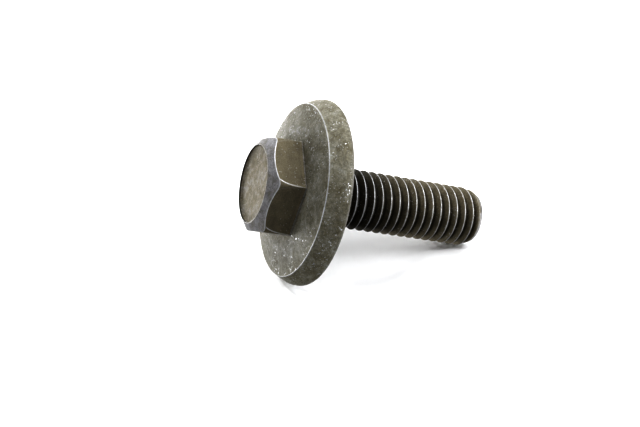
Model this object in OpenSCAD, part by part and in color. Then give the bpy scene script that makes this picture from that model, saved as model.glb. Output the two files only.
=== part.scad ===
// Hex bolt with a captive bevelled washer.
// Millimetres. The bolt's axis is the Y axis and the point of the thread looks along +Y.
// The origin is the centre of the washer's back face, the face that bears on the work.

/* [Thread] */
// Nominal size over the thread crests
thread_d = 8; // [7.9:0.05:8.1]
// Distance from one turn of the thread to the next
pitch = 1.25; // [1.2:0.01:1.3]
// Length from the underside of the head to the point
under_head = 27.6; // [24:0.1:32]

/* [Hex head] */
// Width across the flats
hex_af = 11.9; // [11.6:0.1:12.2]
// Height from the seat on the washer to the rim of the crown
head_h = 4.65; // [4.2:0.05:5]
// Diameter of the crown, where the chamfer ends
crown_d = 10.2; // [9.8:0.1:10.4]
// Slope of the chamfer over the corners
crown_angle = 35; // [28:1:38]
// Depth of the dished crown
dish_depth = 0.45; // [0.2:0.05:0.6]

/* [Washer] */
// Largest diameter of the washer
washer_d = 24.3; // [23.6:0.1:25]
// Diameter of the sharp edge round its front
edge_d = 22.5; // [21.8:0.1:22.8]
// Thickness under the head
seat_t = 3.85; // [3.6:0.05:4.1]
// Distance from the back face to the sharp edge
edge_t = 3.1; // [2.8:0.05:3.3]
// Bore, smaller than the thread so that the washer can't come off
bore_d = 7.4; // [7.3:0.05:7.5]
// Width of the chamfer at the back of the bore
bore_chamfer = 0.6; // [0.55:0.05:0.8]

/* [Hidden] */

seat_gap = 0.05;                      // play between the head and the washer
neck_d = 7;                           // plain neck that the washer turns on
root_d = thread_d - 1.2269 * pitch;
crest_w = pitch / 8;
root_w = pitch / 4;                   // width of the groove at the root
head_y = -seat_t - seat_gap;          // underside of the head
tip_y = head_y + under_head;
crown_y = head_y - head_h;
rim_w = 0.16;                         // narrow rim left round the dish
corner_d = hex_af / cos(30) - 0.2;    // the corners aren't quite sharp
tip_d = 6.8;
tip_chamfer = 1.4;
run_out_y = 0.7;                      // first turn, clear of the washer's back face
first_crest_y = 1.93;                 // first whole crest
turns = ceil(under_head / pitch);

// Turns a shape drawn along +Z so that it lies along +Y.
module along_y() { rotate([-90, 0, 0]) children(); }

// One turn of the thread in radius and height, from crest to crest.
function ridge(y) = [
    [root_d / 2, y - pitch / 2 + root_w / 2], [thread_d / 2, y - crest_w / 2],
    [thread_d / 2, y + crest_w / 2], [root_d / 2, y + pitch / 2 - root_w / 2]];

// Half section of the whole thread.
module thread_section() {
    intersection() {
        polygon([[0, run_out_y - pitch],
                 for (k = [0 : turns - 1]) each ridge(first_crest_y + (k - 1) * pitch),
                 [0, run_out_y + turns * pitch]]);
        polygon([[0, run_out_y], [neck_d / 2, run_out_y], [thread_d / 2, run_out_y + 0.7],
                 [thread_d / 2, tip_y - tip_chamfer], [tip_d / 2, tip_y], [0, tip_y]]);
    }
}

module threaded_shank() {
    rotate_extrude() thread_section();
}

module hex_head() {
    difference() {
        intersection() {
            translate([0, 0, crown_y])
                rotate([0, 0, 30]) cylinder(h = head_h, d = hex_af / cos(30), $fn = 6);
            translate([0, 0, crown_y]) cylinder(h = head_h, d = corner_d);
            translate([0, 0, crown_y])
                cylinder(h = head_h, d1 = crown_d,
                         d2 = crown_d + 2 * head_h / tan(crown_angle));
        }
        // dished crown with a sloping wall inside a narrow rim
        translate([0, 0, crown_y - 0.01])
            cylinder(h = dish_depth + 0.01, d1 = crown_d - 2 * rim_w,
                     d2 = crown_d - 2 * rim_w - dish_depth);
    }
}

module bolt() {
    along_y() {
        hex_head();
        translate([0, 0, head_y - 0.2]) cylinder(h = run_out_y - head_y + 0.2, d = neck_d);
        threaded_shank();
    }
}

module washer() {
    along_y()
        difference() {
            rotate_extrude()
                polygon([[bore_d / 2 - 0.5, 0], [washer_d / 2 - 0.45, 0],
                         [washer_d / 2 - 0.1, -0.2], [washer_d / 2, -0.55],
                         [washer_d / 2, -0.95], [washer_d / 2 - 0.12, -1.35],
                         [edge_d / 2, -edge_t], [hex_af / 2 + 1.2, -seat_t],
                         [bore_d / 2 - 0.5, -seat_t]]);
            translate([0, 0, -seat_t - 1]) cylinder(h = seat_t + 2, d = bore_d);
            // chamfer that clears the first turn of the thread
            translate([0, 0, -bore_chamfer])
                cylinder(h = bore_chamfer + 0.5, d1 = bore_d, d2 = bore_d + 2 * bore_chamfer + 1);
        }
}

color([0.30, 0.29, 0.25]) bolt();
color([0.42, 0.42, 0.38]) washer();
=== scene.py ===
"""Hex bolt with a captive bevelled washer: detailed meshes, materials, light and camera."""
import math

import bpy
import bmesh
import numpy as np
from mathutils import Matrix, Vector, noise


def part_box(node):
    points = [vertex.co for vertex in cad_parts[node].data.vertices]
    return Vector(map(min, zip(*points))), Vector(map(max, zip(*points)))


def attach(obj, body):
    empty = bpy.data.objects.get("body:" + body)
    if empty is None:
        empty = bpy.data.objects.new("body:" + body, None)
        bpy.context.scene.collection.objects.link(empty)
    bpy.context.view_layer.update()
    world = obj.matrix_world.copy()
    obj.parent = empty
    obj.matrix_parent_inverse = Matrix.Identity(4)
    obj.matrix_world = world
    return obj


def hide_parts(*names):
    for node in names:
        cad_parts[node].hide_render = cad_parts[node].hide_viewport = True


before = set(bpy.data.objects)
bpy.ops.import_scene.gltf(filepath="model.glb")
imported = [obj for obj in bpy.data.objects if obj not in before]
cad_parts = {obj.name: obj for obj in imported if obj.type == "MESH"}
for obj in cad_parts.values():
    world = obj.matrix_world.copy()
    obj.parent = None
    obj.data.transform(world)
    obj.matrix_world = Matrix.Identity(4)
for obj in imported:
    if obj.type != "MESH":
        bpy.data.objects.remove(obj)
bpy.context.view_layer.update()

MM = 0.001
bolt_lo, bolt_hi = [np.array(c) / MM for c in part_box("bolt")]
wash_lo, wash_hi = [np.array(c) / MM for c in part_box("washer")]

# Sizes in millimetres, taken from the frame where it has them.
CROWN_Y = bolt_lo[1] + 0.055
TIP_Y = bolt_hi[1]
SEAT_Y = wash_lo[1]
RIM_R = wash_hi[0]
HEAD_Y = SEAT_Y - 0.05
FLAT_R = 5.95
CROWN_R = 5.07
CROWN_SLOPE = math.tan(math.radians(35.6))
CROWN_TILT = 0.055
NECK_R = 3.5
THREAD_R = 4.0
PITCH = 1.25
CREST_ANGLE = math.radians(63.45)
CREST_Y = 4.433
RUN_OUT_Y = 0.7
TIP_R = 3.4
TIP_BAND = 0.35          # bright ring at the end of the thread
TIP_FLAT = 1.6           # the crests here are cut by the point's chamfer
VALLEY_R = 3.25
EDGE_R = 11.25
EDGE_Y = -3.1
BORE_R = 3.7
DISH_GREY = 0.22
DISH_TONE = 1.12
FLAT_GREY = -0.6
CHAMFER_TONE = 1.35


def smooth(a, b, x):
    """0 below a, 1 above b, with soft ends."""
    t = np.clip((np.asarray(x, float) - a) / (b - a), 0.0, 1.0)
    return t * t * (3 - 2 * t)


def ring(angles, radius, y):
    """Points round the Y axis; an angle runs from +Z towards +X."""
    radius = np.broadcast_to(radius, angles.shape)
    y = np.broadcast_to(y, angles.shape)
    return np.stack([radius * np.sin(angles), y, radius * np.cos(angles)], 1)


class Shell:
    """Rows of points with the same angles, joined by quads."""

    def __init__(self):
        self.points, self.faces = [], []
        self.values = {"wear": [], "grey": [], "tone_and_shade": []}
        self.count = 0

    def add(self, points, wear, grey=0.0, tone_and_shade=1.0):
        first = self.count
        self.points.append(points)
        for name, value in (("wear", wear), ("grey", grey), ("tone_and_shade", tone_and_shade)):
            self.values[name].append(np.broadcast_to(value, (len(points),)))
        self.count += len(points)
        return np.arange(first, self.count)

    def join(self, a, b):
        self.faces.append(np.stack([a, b, np.roll(b, -1), np.roll(a, -1)], 1))

    def rows(self, rows):
        """rows: (points, wear, grey, tone with painted shade) for each ring, from one end to the
        other.
        """
        ids = [self.add(*row) for row in rows]
        for a, b in zip(ids, ids[1:]):
            self.join(a, b)
        return ids

    def build(self, name, merge=0.004):
        pts = np.concatenate(self.points) * MM
        faces = np.concatenate(self.faces)
        mesh = bpy.data.meshes.new(name)
        mesh.from_pydata(pts.tolist(), [], faces.tolist())
        for key, value in self.values.items():
            layer = mesh.attributes.new(key, "FLOAT", "POINT")
            layer.data.foreach_set("value", np.concatenate(value).astype(np.float32))
        bm = bmesh.new()
        bm.from_mesh(mesh)
        bmesh.ops.remove_doubles(bm, verts=bm.verts, dist=merge * MM)
        bmesh.ops.dissolve_degenerate(bm, edges=bm.edges, dist=merge * MM * 0.5)
        bmesh.ops.recalc_face_normals(bm, faces=bm.faces)
        bm.to_mesh(mesh)
        bm.free()
        mesh.shade_smooth()
        obj = bpy.data.objects.new(name, mesh)
        bpy.context.scene.collection.objects.link(obj)
        return obj


# ---------------------------------------------------------------- bolt

def head_angles():
    """Even steps, with more near the six corners."""
    out = [a for a in np.arange(0, 360, 2.0) if abs((a + 30) % 60 - 30) > 8]
    for corner in range(0, 360, 60):
        out += [corner + d for d in np.linspace(-8, 8, 29)]
    return np.radians(np.array(sorted(a % 360 for a in out)))


def corner_radius(y):
    """The forged corners are nearly sharp at the seat and broad at the crown."""
    return np.minimum(0.10 + 1.25 * np.exp(-(y + 7.4) / 0.943), 1.7)


def from_corner(angles):
    return np.abs((angles + math.pi / 6) % (math.pi / 3) - math.pi / 6)


def hex_radius(angles, y):
    """Radius of the hexagon with rounded corners; corners lie at 0, 60, ... degrees."""
    rho = corner_radius(y)
    corner = from_corner(angles)
    flat = FLAT_R / np.cos(math.pi / 6 - corner)
    centre = (FLAT_R - rho) / math.cos(math.pi / 6)
    root = np.clip(rho ** 2 - (centre * np.sin(corner)) ** 2, 0, None)
    arc = centre * np.cos(corner) + np.sqrt(root)
    on_arc = FLAT_R * np.tan(math.pi / 6 - corner) > (FLAT_R - rho) * math.tan(math.pi / 6)
    return np.where(on_arc, arc, flat)


def facet_edge(angles, y):
    """Distance along the side from the line where a flat turns into its corner."""
    rho = corner_radius(y)
    along = FLAT_R * np.tan(math.pi / 6 - from_corner(angles))
    return along - (FLAT_R - rho) * math.tan(math.pi / 6)


def crown_height(angles, radius):
    """The crown stands a little out of square."""
    return CROWN_Y - CROWN_TILT * np.sin(angles) * radius / CROWN_R


def cone_radius(angles, y):
    return CROWN_R + (y - crown_height(angles, CROWN_R)) / CROWN_SLOPE


def chamfer_height(angles):
    """Where the crown's cone meets the side, for each angle."""
    lo = crown_height(angles, CROWN_R)
    hi = np.full(angles.shape, HEAD_Y)
    for _ in range(40):
        mid = (lo + hi) / 2
        inside = cone_radius(angles, mid) < hex_radius(angles, mid)
        lo, hi = np.where(inside, mid, lo), np.where(inside, hi, mid)
    return (lo + hi) / 2


def head_rows(angles):
    """Rings from the middle of the dish to the neck: points, wear, greyness, tone with painted
    light and shade.
    """
    rows = []
    # radius, depth, wear, tone; the low tones on the steep wall just inside the rim are painted
    # shade, and the raised tones on the slope inside the wall are painted light
    dish = [(0.0, 0.49, 0, 1.2), (0.8, 0.49, 0, 1.2), (1.6, 0.49, 0, 1.2), (2.4, 0.485, 0, 1.2),
            (3.2, 0.48, 0, 1.18), (3.8, 0.47, 0, 1.1), (4.1, 0.46, 0, 1.02),
            (4.35, 0.44, 0, 0.94), (4.55, 0.41, 0, 0.92), (4.72, 0.365, 0, 0.98),
            (4.86, 0.31, 0, 1.1), (4.94, 0.25, 0, 1.1), (4.97, 0.17, 0, 0.35),
            (4.99, 0.08, 0, 0.12), (5.0, 0.035, 0.1, 0.25), (5.015, 0.01, 0.6, 1),
            (5.035, 0.0, 0.7, 1), (5.06, 0.006, 0.5, 1), (5.09, 0.03, 0.1, 1)]
    for radius, depth, wear, tone_and_shade in dish:
        y = crown_height(angles, radius) + depth
        if radius < 4.3:
            y = y + 0.02 * np.array([noise.noise(Vector((radius * math.sin(a) * 0.9, 3.1,
                                                         radius * math.cos(a) * 0.9)))
                                     for a in angles])
        rows.append((ring(angles, radius, y), wear, DISH_GREY, tone_and_shade * DISH_TONE))
    edge = chamfer_height(angles)
    start = crown_height(angles, CROWN_R) + 0.05
    for t in (0.05, 0.2, 0.4, 0.6, 0.8):
        y = start + (edge - start) * t
        rows.append((ring(angles, cone_radius(angles, y), y), 0.0, 1.0, CHAMFER_TONE))
    for back, wear in ((0.10, 0.0), (0.05, 0.35)):
        y = edge - back * 0.7
        rows.append((ring(angles, cone_radius(angles, y), y), wear, 1.0, CHAMFER_TONE))
    y = edge + 0.008
    rows.append((ring(angles, hex_radius(angles, y) - 0.012, y), 0.9, 0.5, 1.0))
    for on, wear in ((0.04, 0.75), (0.1, 0.0)):
        y = edge + on
        rows.append((ring(angles, hex_radius(angles, y), y), wear, FLAT_GREY, 1.0))
    for t in np.linspace(0.02, 0.975, 22):
        y = (edge + 0.1) + (HEAD_Y - 0.12 - edge - 0.1) * t
        line = np.exp(-(facet_edge(angles, y) / 0.06) ** 2) * (1 - 0.6 * t)
        before = (angles + math.pi / 6) % (math.pi / 3) < math.pi / 6
        line = line * np.where(before, 1.0, 0.12)
        # painted shade: the flats darken towards the washer, then there is a lighter strip just
        # above the seat
        tone_and_shade = 1.03 - 0.14 * smooth(0.3, 0.9, t) + 0.2 * smooth(0.88, 0.94, t)
        rows.append((ring(angles, hex_radius(angles, y), y), line, FLAT_GREY, tone_and_shade))
    for up, out, wear in ((0.12, 0.0, 0.0), (0.08, 0.012, 0.12), (0.03, 0.05, 0.15),
                          (0.0, 0.06, 0.0)):
        rows.append((ring(angles, hex_radius(angles, HEAD_Y) + out, HEAD_Y - up), wear, 0.4, 1.0))
    # painted shade: the underside of the head and the neck inside the washer are darker
    for radius in (5.6, 4.6, 3.75):
        rows.append((ring(angles, radius, HEAD_Y), 0.0, 0.0, 0.6))
    for radius, y in ((3.58, 0.05), (NECK_R, 0.2)):
        rows.append((ring(angles, radius, HEAD_Y + y), 0.0, 0.0, 0.5))
    for y in ((HEAD_Y + RUN_OUT_Y) / 2, RUN_OUT_Y + 0.05):
        rows.append((ring(angles, NECK_R - 0.002, y), 0.0, 0.0, 0.5))
    rows.append((ring(angles, 0.0, RUN_OUT_Y + 0.05), 0.0, 0.0, 0.5))
    return rows


def thread_limit(y):
    """Largest radius at a height: run-out under the head, chamfer at the point."""
    low = NECK_R + (y - RUN_OUT_Y) * 0.7
    high = TIP_R + (TIP_Y - y) * 0.43
    return np.minimum(np.minimum(low, high), THREAD_R)


# painted shade for the run-out end of the neck inside the washer
NECK_SHADE_TONE = 0.45
# height from the crest, radius, wear
THREAD_PROFILE = [(-0.625, 3.222, 0.0), (-0.575, 3.232, 0.0), (-0.53, 3.270, 0.0),
                  (-0.48, 3.335, 0.0), (-0.36, 3.535, 0.0), (-0.22, 3.770, 0.0),
                  (-0.13, 3.917, 0.0), (-0.09, 3.966, 0.03), (-0.055, 3.992, 0.45),
                  (0.0, 4.0, 0.75), (0.055, 3.992, 0.45), (0.09, 3.966, 0.03),
                  (0.13, 3.917, 0.0), (0.22, 3.770, 0.0), (0.36, 3.535, 0.0),
                  (0.48, 3.335, 0.0), (0.53, 3.270, 0.0), (0.575, 3.232, 0.0)]


def thread_shell(shell, angles):
    """A right-hand helix of the profile, cut to the run-out and the point.

    Painted shade darkens the coat in the valleys and towards the washer, and dims the crest wear
    near the washer.
    """
    columns, m = len(angles), len(THREAD_PROFILE)
    # lowest turn starts a little under the run-out, at the first column
    start = CREST_Y + PITCH * (angles[0] - CREST_ANGLE) / (2 * math.pi)
    start -= PITCH * math.ceil((start - RUN_OUT_Y) / PITCH + 1)
    turns = math.ceil((TIP_Y - start) / PITCH) + 2
    ids = []
    for i in range(columns * turns):
        a = angles[i % columns]
        base = start + PITCH * (i // columns + (a - angles[0]) / (2 * math.pi))
        y = np.array([base + p[0] for p in THREAD_PROFILE])
        r = np.array([p[1] for p in THREAD_PROFILE])
        w = np.array([p[2] for p in THREAD_PROFILE])
        y = np.clip(y, RUN_OUT_Y, TIP_Y)
        limit = thread_limit(y)
        cut = r > limit - 1e-6
        w = np.where(cut & (y > TIP_Y - TIP_FLAT), 0.5 * w, w)
        w = np.where(y > TIP_Y - TIP_BAND, 0.5, w)
        w = np.where(y < RUN_OUT_Y + 1.0, 0.0, w)
        r = np.minimum(r, limit)
        # a little waviness and a few nicks along the crest
        for j, p in enumerate(THREAD_PROFILE):
            if abs(p[0]) < 0.1 and not cut[j]:
                v = Vector((math.sin(a) * 9, math.cos(a) * 9, y[j] * 2.2))
                nick = max(0.0, noise.noise(v) - 0.38)
                r[j] -= 0.40 * nick + 0.008 * noise.noise(v * 2.3)
                w[j] *= 0.8 + 0.7 * noise.noise(v * 0.6) + 0.7 * noise.noise(v * 2.9)
                # painted shade: the crest wear is dimmed near the washer
                w[j] *= 0.6 + 0.4 * smooth(4, 13, y[j])
        pts = np.stack([r * math.sin(a), y, r * math.cos(a)], 1)
        # painted shade: darker towards the washer, and darker again down into the valleys
        painted_washer_shade = 0.14 + 0.78 * smooth(3, 15, y)
        end = y > TIP_Y - TIP_BAND
        tone_and_shade = np.where(end, 2.6, painted_washer_shade * (0.35 + 0.65 * smooth(VALLEY_R, NECK_R, r)))
        ids.append(shell.add(pts, w, np.where(end, 0.6, -0.1), tone_and_shade))
    ids = np.array(ids)
    last = columns * (turns - 1) - 1
    for i in range(last):
        a, b = ids[i], ids[i + 1]
        up_a = np.append(a[1:], ids[i + columns][0])
        up_b = np.append(b[1:], ids[i + columns + 1][0])
        shell.faces.append(np.stack([a, up_a, up_b, b], 1))


def tip_rows(angles):
    profile = [(TIP_R, 0.0, 0.6), (TIP_R - 0.06, -0.002, 0.5), (TIP_R - 0.15, -0.012, 0.2),
               (2.9, -0.03, 0.0), (2.2, -0.06, 0.0), (1.2, -0.11, 0.0), (0.5, -0.13, 0.0),
               (0.0, -0.135, 0.0)]
    return [(ring(angles, r, TIP_Y + dy), w, 0.3, 0.8) for r, dy, w in profile]


def make_bolt():
    shell = Shell()
    shell.rows(head_rows(head_angles()))
    angles = np.radians(np.arange(0, 360, 2.0))
    start = [(ring(angles, r, RUN_OUT_Y), 0.0, 0.0, NECK_SHADE_TONE) for r in (0.0, 2.0, NECK_R)]
    shell.rows(start)
    thread_shell(shell, angles)
    shell.rows(tip_rows(angles))
    obj = shell.build("bolt_forged")
    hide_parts("bolt")
    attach(obj, "bolt")
    return obj


# -------------------------------------------------------------- washer

# direction in degrees, radius, half width in degrees, half width across, strength
SCUFFS = [(-26, 7.5, 19, 0.28, 1.0), (-9, 8.1, 9, 0.22, 0.8), (-50, 8.3, 14, 0.5, 0.5),
          (148, 7.7, 22, 0.55, 0.6), (130, 9.0, 14, 0.6, 0.4), (60, 9.4, 12, 0.4, 0.25)]


def scuffs(angles, radius, y):
    """Rubbed patches on the front of the washer, beside the head."""
    total = np.zeros(angles.shape)
    if y > -3.3 or radius < 6:
        return total
    for way, middle, wide, across, strength in SCUFFS:
        turn = (np.degrees(angles) - way + 180) % 360 - 180
        total += strength * np.exp(-(turn / wide) ** 2 - ((radius - middle) / across) ** 2)
    grit = [noise.noise(Vector((math.sin(a) * radius * 1.6, 5.0, math.cos(a) * radius * 1.6)))
            for a in angles]
    return np.clip(total * (0.55 + 1.1 * np.array(grit)), 0, 1)


def make_washer():
    angles = np.radians(np.arange(0, 360, 360 / 288))
    r = RIM_R
    profile = [
        (BORE_R, -0.6, 0), (BORE_R, -3.55, 0), (BORE_R + 0.22, SEAT_Y + 0.01, 0),
        (5.0, SEAT_Y, 0), (6.0, SEAT_Y, 0), (6.4, SEAT_Y, 0), (6.8, SEAT_Y, 0),
        (7.05, SEAT_Y, 0), (7.3, SEAT_Y + 0.02, 0), (7.55, -3.80, 0), (7.85, -3.745, 0),
        (8.2, -3.68, 0), (8.6, -3.603, 0), (9.2, -3.49, 0), (10.2, -3.31, 0),
        (10.9, -3.18, 0),
        (EDGE_R - 0.12, EDGE_Y - 0.018, 0.0), (EDGE_R - 0.06, EDGE_Y - 0.006, 0.6),
        (EDGE_R - 0.015, EDGE_Y, 1.0), (EDGE_R + 0.012, EDGE_Y + 0.03, 1.0),
        (EDGE_R + 0.035, EDGE_Y + 0.075, 0.5), (EDGE_R + 0.06, EDGE_Y + 0.14, 0.0),
        (11.48, -2.62, 0), (11.66, -2.24, 0), (11.83, -1.88, 0), (11.98, -1.55, 0),
        (12.08, -1.25, 0), (12.135, -1.0, 0), (r, -0.75, 0), (r - 0.01, -0.5, 0),
        (r - 0.06, -0.3, 0.1), (r - 0.16, -0.13, 0.2), (r - 0.3, -0.03, 0.1),
        (r - 0.45, 0.0, 0), (10.8, 0, 0), (9.0, 0, 0), (7.0, 0, 0), (5.4, 0, 0),
        (4.25, 0, 0.1), (BORE_R + 0.02, -0.55, 0)]
    shell = Shell()
    ids = []
    for radius, y, wear in profile:
        pts = ring(angles, radius, y)
        if radius > 7.2 and y < -0.01:
            for k, p in enumerate(pts):
                n = noise.noise(Vector(p * 0.35)) * 0.02 + noise.noise(Vector(p * 1.3)) * 0.008
                scale = (radius + min(n, 0.0 if y > -1.3 else n)) / radius
                pts[k][0] *= scale
                pts[k][2] *= scale
        side = np.abs((angles - math.radians(72) + math.pi) % (2 * math.pi) - math.pi)
        fade = 0.6 + 0.4 * np.exp(-(side / math.radians(38)) ** 2)
        band = smooth(-3.3, -2.9, y) * smooth(-0.2, -0.8, y) if radius > 11 else 0.0
        front = 1.0 if y < -3.3 and radius > 7 else 0.0
        rubbed = scuffs(angles, radius, y)
        ids.append(shell.add(pts, wear * fade + 0.22 * rubbed, 0.5 + 0.1 * front + 0.3 * rubbed,
                             1.0 + 0.14 * band + 0.16 * rubbed))
    for a, b in zip(ids, ids[1:] + ids[:1]):
        shell.join(a, b)
    obj = shell.build("washer_bevelled")
    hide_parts("washer")
    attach(obj, "washer")
    return obj


# ----------------------------------------------------------- materials

class Nodes:
    """Small helper for node trees: each call adds a node and links its inputs."""

    def __init__(self, material):
        material.use_nodes = True
        self.tree = material.node_tree
        self.tree.nodes.clear()

    def add(self, kind, inputs=(), **settings):
        node = self.tree.nodes.new("ShaderNode" + kind)
        for key, value in settings.items():
            setattr(node, key, value)
        for key, value in dict(inputs).items():
            socket = node.inputs[key]
            if isinstance(value, bpy.types.NodeSocket):
                self.tree.links.new(value, socket)
            else:
                socket.default_value = value
        return node

    def coords(self):
        """Object coordinates in millimetres."""
        tex = self.add("TexCoord")
        return self.add("VectorMath", {0: tex.outputs["Object"], 3: 1000.0},
                        operation="SCALE").outputs[0]

    def noise(self, vector, scale, detail=4.0, rough=0.55, distortion=0.0):
        return self.add("TexNoise", {"Vector": vector, "Scale": scale, "Detail": detail,
                                     "Roughness": rough, "Distortion": distortion}).outputs[0]

    def ramp(self, value, stops):
        node = self.add("ValToRGB", {"Fac": value})
        ramp = node.color_ramp
        while len(ramp.elements) < len(stops):
            ramp.elements.new(0.5)
        for element, (pos, colour) in zip(ramp.elements, stops):
            element.position = pos
            if not isinstance(colour, tuple):
                colour = (colour, colour, colour)
            element.color = (*colour, 1.0)
        return node.outputs["Color"]

    def math(self, operation, a, b=0.0, clamp=False):
        node = self.add("Math", {0: a, 1: b}, operation=operation)
        node.use_clamp = clamp
        return node.outputs[0]

    def mix(self, factor, a, b, blend="MIX"):
        node = self.add("Mix", data_type="RGBA", blend_type=blend)
        for socket, value in ((node.inputs[0], factor), (node.inputs[6], a), (node.inputs[7], b)):
            if isinstance(value, bpy.types.NodeSocket):
                self.tree.links.new(value, socket)
            elif isinstance(value, tuple):
                socket.default_value = (*value, 1.0)
            else:
                socket.default_value = value
        return node.outputs[2]


def phosphate(name, brown, grey, bare, mottle, low, high, speck, rare):
    """Phosphated steel: mottled coat, fine grain, specks, and bare metal where it is worn.

    low and high are the mottle's darkest and lightest levels; rare is how few the specks are.
    """
    material = bpy.data.materials.new(name)
    n = Nodes(material)
    p = n.coords()
    cloud = n.noise(p, 0.45, 4, 0.6, 0.5)
    blot = n.noise(p, mottle, 6, 0.7, 0.8)
    grain = n.noise(p, 6.5, 3, 0.6)
    grey_at = n.add("Attribute", attribute_name="grey").outputs["Fac"]
    shift = n.math("MULTIPLY", n.math("SUBTRACT", n.mix(0.6, cloud, blot), 0.5), 3.0)
    coat = n.mix(n.math("ADD", grey_at, shift, clamp=True), brown, grey)
    fine = n.noise(p, mottle * 2.1, 5, 0.75, 1.2)
    patch = n.math("ADD", n.math("MULTIPLY", blot, 0.45), n.math("MULTIPLY", fine, 0.55))
    level = n.ramp(patch, [(0.42, low), (0.5, 1.0), (0.57, high)])
    away = n.math("ABSOLUTE", n.math("SUBTRACT", grey_at, 0.5))
    amount = n.math("SUBTRACT", 1.0, n.math("MULTIPLY", away, 0.85), clamp=True)
    coat = n.mix(1.0, coat, n.ramp(cloud, [(0.35, 0.84), (0.65, 1.16)]), "MULTIPLY")
    coat = n.mix(amount, coat, n.mix(1.0, coat, level, "MULTIPLY"))
    coat = n.mix(1.0, coat, n.ramp(grain, [(0.3, 0.8), (0.65, 1.12)]), "MULTIPLY")
    # the tone attribute scales the coat: real tone, plus painted shade and light
    tone_and_shade = n.add("Attribute", attribute_name="tone_and_shade").outputs["Fac"]
    coat = n.add("VectorMath", {0: coat, 3: tone_and_shade}, operation="SCALE").outputs[0]
    fleck = n.ramp(n.noise(p, 4.2, 2, 0.6), [(rare, 0.0), (rare + 0.04, 1.0)])
    where = n.ramp(n.noise(p, 0.55, 2), [(0.42, 0.0), (0.6, 1.0)])
    spot = n.math("MULTIPLY", n.math("MULTIPLY", fleck, where), speck)
    worn = n.add("Attribute", attribute_name="wear").outputs["Fac"]
    patchy = n.ramp(n.noise(p, 3.0, 4, 0.75), [(0.32, 0.3), (0.52, 1.0)])
    metal = n.math("MAXIMUM", n.math("MULTIPLY", worn, patchy), spot, clamp=True)
    colour = n.mix(metal, coat, bare)
    rough = n.mix(metal, (0.6, 0.6, 0.6), (0.34, 0.34, 0.34))
    height = n.math("ADD", n.math("MULTIPLY", blot, 0.7), n.math("MULTIPLY", grain, 0.3))
    bump = n.add("Bump", {"Strength": 0.3, "Distance": 0.00005, "Height": height})
    shader = n.add("BsdfPrincipled", {"Base Color": colour, "Roughness": rough,
                                      "Metallic": n.math("MULTIPLY", metal, 0.6),
                                      "Normal": bump.outputs[0]})
    shader.inputs["Specular IOR Level"].default_value = 0.1
    shader.inputs["Sheen Weight"].default_value = 0.25
    shader.inputs["Sheen Roughness"].default_value = 0.25
    n.add("OutputMaterial", {"Surface": shader.outputs[0]})
    return material


def add_materials(bolt, washer):
    bare = (0.78, 0.80, 0.85)
    bolt.data.materials.append(phosphate(
        "bolt_phosphate", (0.182, 0.160, 0.108), (0.200, 0.198, 0.204), bare,
        1.0, 0.70, 1.42, 0.5, 0.655))
    washer.data.materials.append(phosphate(
        "washer_phosphate", (0.184, 0.165, 0.105), (0.203, 0.203, 0.182), bare,
        1.0, 0.76, 1.34, 1.0, 0.63))


# --------------------------------------------------------------- stage

def floor_frame():
    """The plane that the washer's rim and the last crest lie on: a point and its up vector."""
    rim = Vector((0, -0.75, -RIM_R))
    crest = Vector((0, TIP_Y - 1.5, -THREAD_R))
    along = (crest - rim).normalized()
    up = Vector((1, 0, 0)).cross(along)
    if up.z < 0:
        up = -up
    return rim * MM, up


def make_stage():
    point, up = floor_frame()
    size = 1.6
    mesh = bpy.data.meshes.new("floor")
    mesh.from_pydata([(-size, -size, 0), (size, -size, 0), (size, size, 0), (-size, size, 0)],
                     [], [(0, 1, 2, 3)])
    floor = bpy.data.objects.new("floor", mesh)
    bpy.context.scene.collection.objects.link(floor)
    x = Vector((1, 0, 0))
    turn = Matrix((x, up.cross(x), up)).transposed().to_4x4()
    mesh.transform(Matrix.Translation(point - up * 0.00002) @ turn)
    material = bpy.data.materials.new("floor_white")
    n = Nodes(material)
    shader = n.add("BsdfPrincipled", {"Base Color": (0.86, 0.865, 0.88, 1), "Roughness": 0.9})
    shader.inputs["Specular IOR Level"].default_value = 0.1
    n.add("OutputMaterial", {"Surface": shader.outputs[0]})
    mesh.materials.append(material)
    floor.visible_glossy = False
    floor.visible_diffuse = False
    floor.visible_shadow = False
    return floor


# elevation above the floor, direction round it (0 is +X, 90 towards the point), strength
PART_LIGHTS = [(62, 120, 1.92), (-20, 180, 1.67), (-20, 45, 0.5), (-20, 225, 1.43),
               (12, 180, 0.87), (62, 240, 0.86), (35, 108, 0.67), (12, 210, 0.60),
               (-20, 270, 0.57), (-20, 0, 0.34), (12, 300, 0.34), (12, 60, 0.41),
               (12, 90, 0.37), (35, 72, 0.33), (12, 30, 0.14)]
GLINT_LIGHTS = [(31, 45, 1.7)]
FLOOR_LIGHTS = [(15, 270, 1.45), (50, 240, 1.03), (50, 300, 0.78), (15, 180, 0.71),
                (32, 60, 0.65), (15, 150, 0.60), (32, 180, 0.55), (32, 150, 0.49),
                (15, 120, 0.41), (50, 30, 0.36), (15, 300, 0.29), (70, 45, 0.29),
                (70, 90, 0.27), (70, 270, 0.27), (70, 315, 0.21), (70, 0, 0.20),
                (32, 120, 0.17), (32, 210, 0.14), (50, 120, 0.14), (50, 150, 0.10),
                (50, 210, 0.10), (50, 60, 0.09)]


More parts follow.
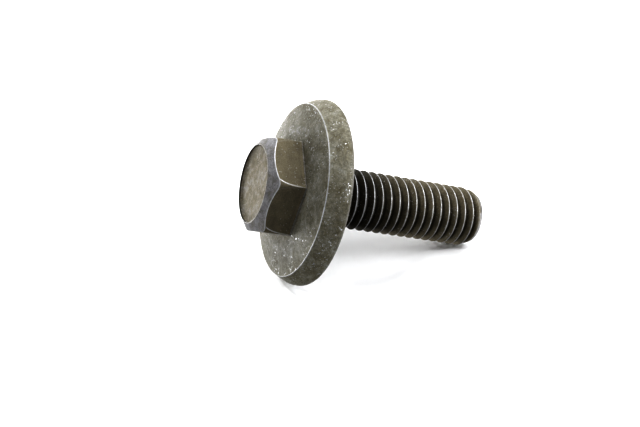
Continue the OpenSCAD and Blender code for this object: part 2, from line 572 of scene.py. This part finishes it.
def soft_lamps(name, table, receivers, angle, diffuse=True):
    """Broad lamps from fixed directions that light only the given pieces."""
    up = floor_frame()[1]
    east = Vector((1, 0, 0))
    north = up.cross(east)
    lit = bpy.data.collections.new(name + "_receivers")
    for piece in receivers:
        lit.objects.link(piece)
    for number, (elevation, azimuth, power) in enumerate(table):
        e, a = math.radians(elevation), math.radians(azimuth)
        way = (east * math.cos(a) + north * math.sin(a)) * math.cos(e) + up * math.sin(e)
        data = bpy.data.lights.new("%s_%d" % (name, number), "SUN")
        data.energy = power
        data.angle = math.radians(angle)
        lamp = bpy.data.objects.new(data.name, data)
        lamp.rotation_euler = way.to_track_quat("Z", "Y").to_euler()
        bpy.context.scene.collection.objects.link(lamp)
        lamp.light_linking.receiver_collection = lit
        lamp.visible_diffuse = diffuse


def make_light(pieces, floor):
    """Lamps for the object and for the floor; the white world is seen but lights nothing."""
    world = bpy.data.worlds.new("studio")
    bpy.context.scene.world = world
    world.use_nodes = True
    background = world.node_tree.nodes["Background"]
    background.inputs["Color"].default_value = (1, 1, 1, 1)
    background.inputs["Strength"].default_value = 1.05
    for kind in ("diffuse", "glossy", "transmission", "scatter"):
        setattr(world.cycles_visibility, kind, False)
    soft_lamps("part_lamp", PART_LIGHTS, pieces, 26)
    soft_lamps("glint_lamp", GLINT_LIGHTS, pieces, 14, diffuse=False)
    soft_lamps("floor_lamp", FLOOR_LIGHTS, [floor], 6)
    view = bpy.context.scene.view_settings
    view.view_transform = "Standard"
    view.exposure = 0.66
    view.gamma = 0.714


def make_camera():
    data = bpy.data.cameras.new("camera")
    data.lens = 59.66
    data.sensor_width = 36.0
    data.clip_start = 0.01
    data.clip_end = 20.0
    camera = bpy.data.objects.new("camera", data)
    right = Vector((0.28251498, 0.90609889, 0.31491283))
    up = Vector((-0.51188372, -0.13523827, 0.8483429))
    back = Vector((0.81127082, -0.40086833, 0.42561043))
    turn = Matrix((right, up, back)).transposed().to_4x4()
    camera.matrix_world = Matrix.Translation(Vector((113.286, -54.073, 56.612)) * MM) @ turn
    bpy.context.scene.collection.objects.link(camera)
    bpy.context.scene.camera = camera


bolt = make_bolt()
washer = make_washer()
add_materials(bolt, washer)
floor = make_stage()
make_light([bolt, washer], floor)
make_camera()
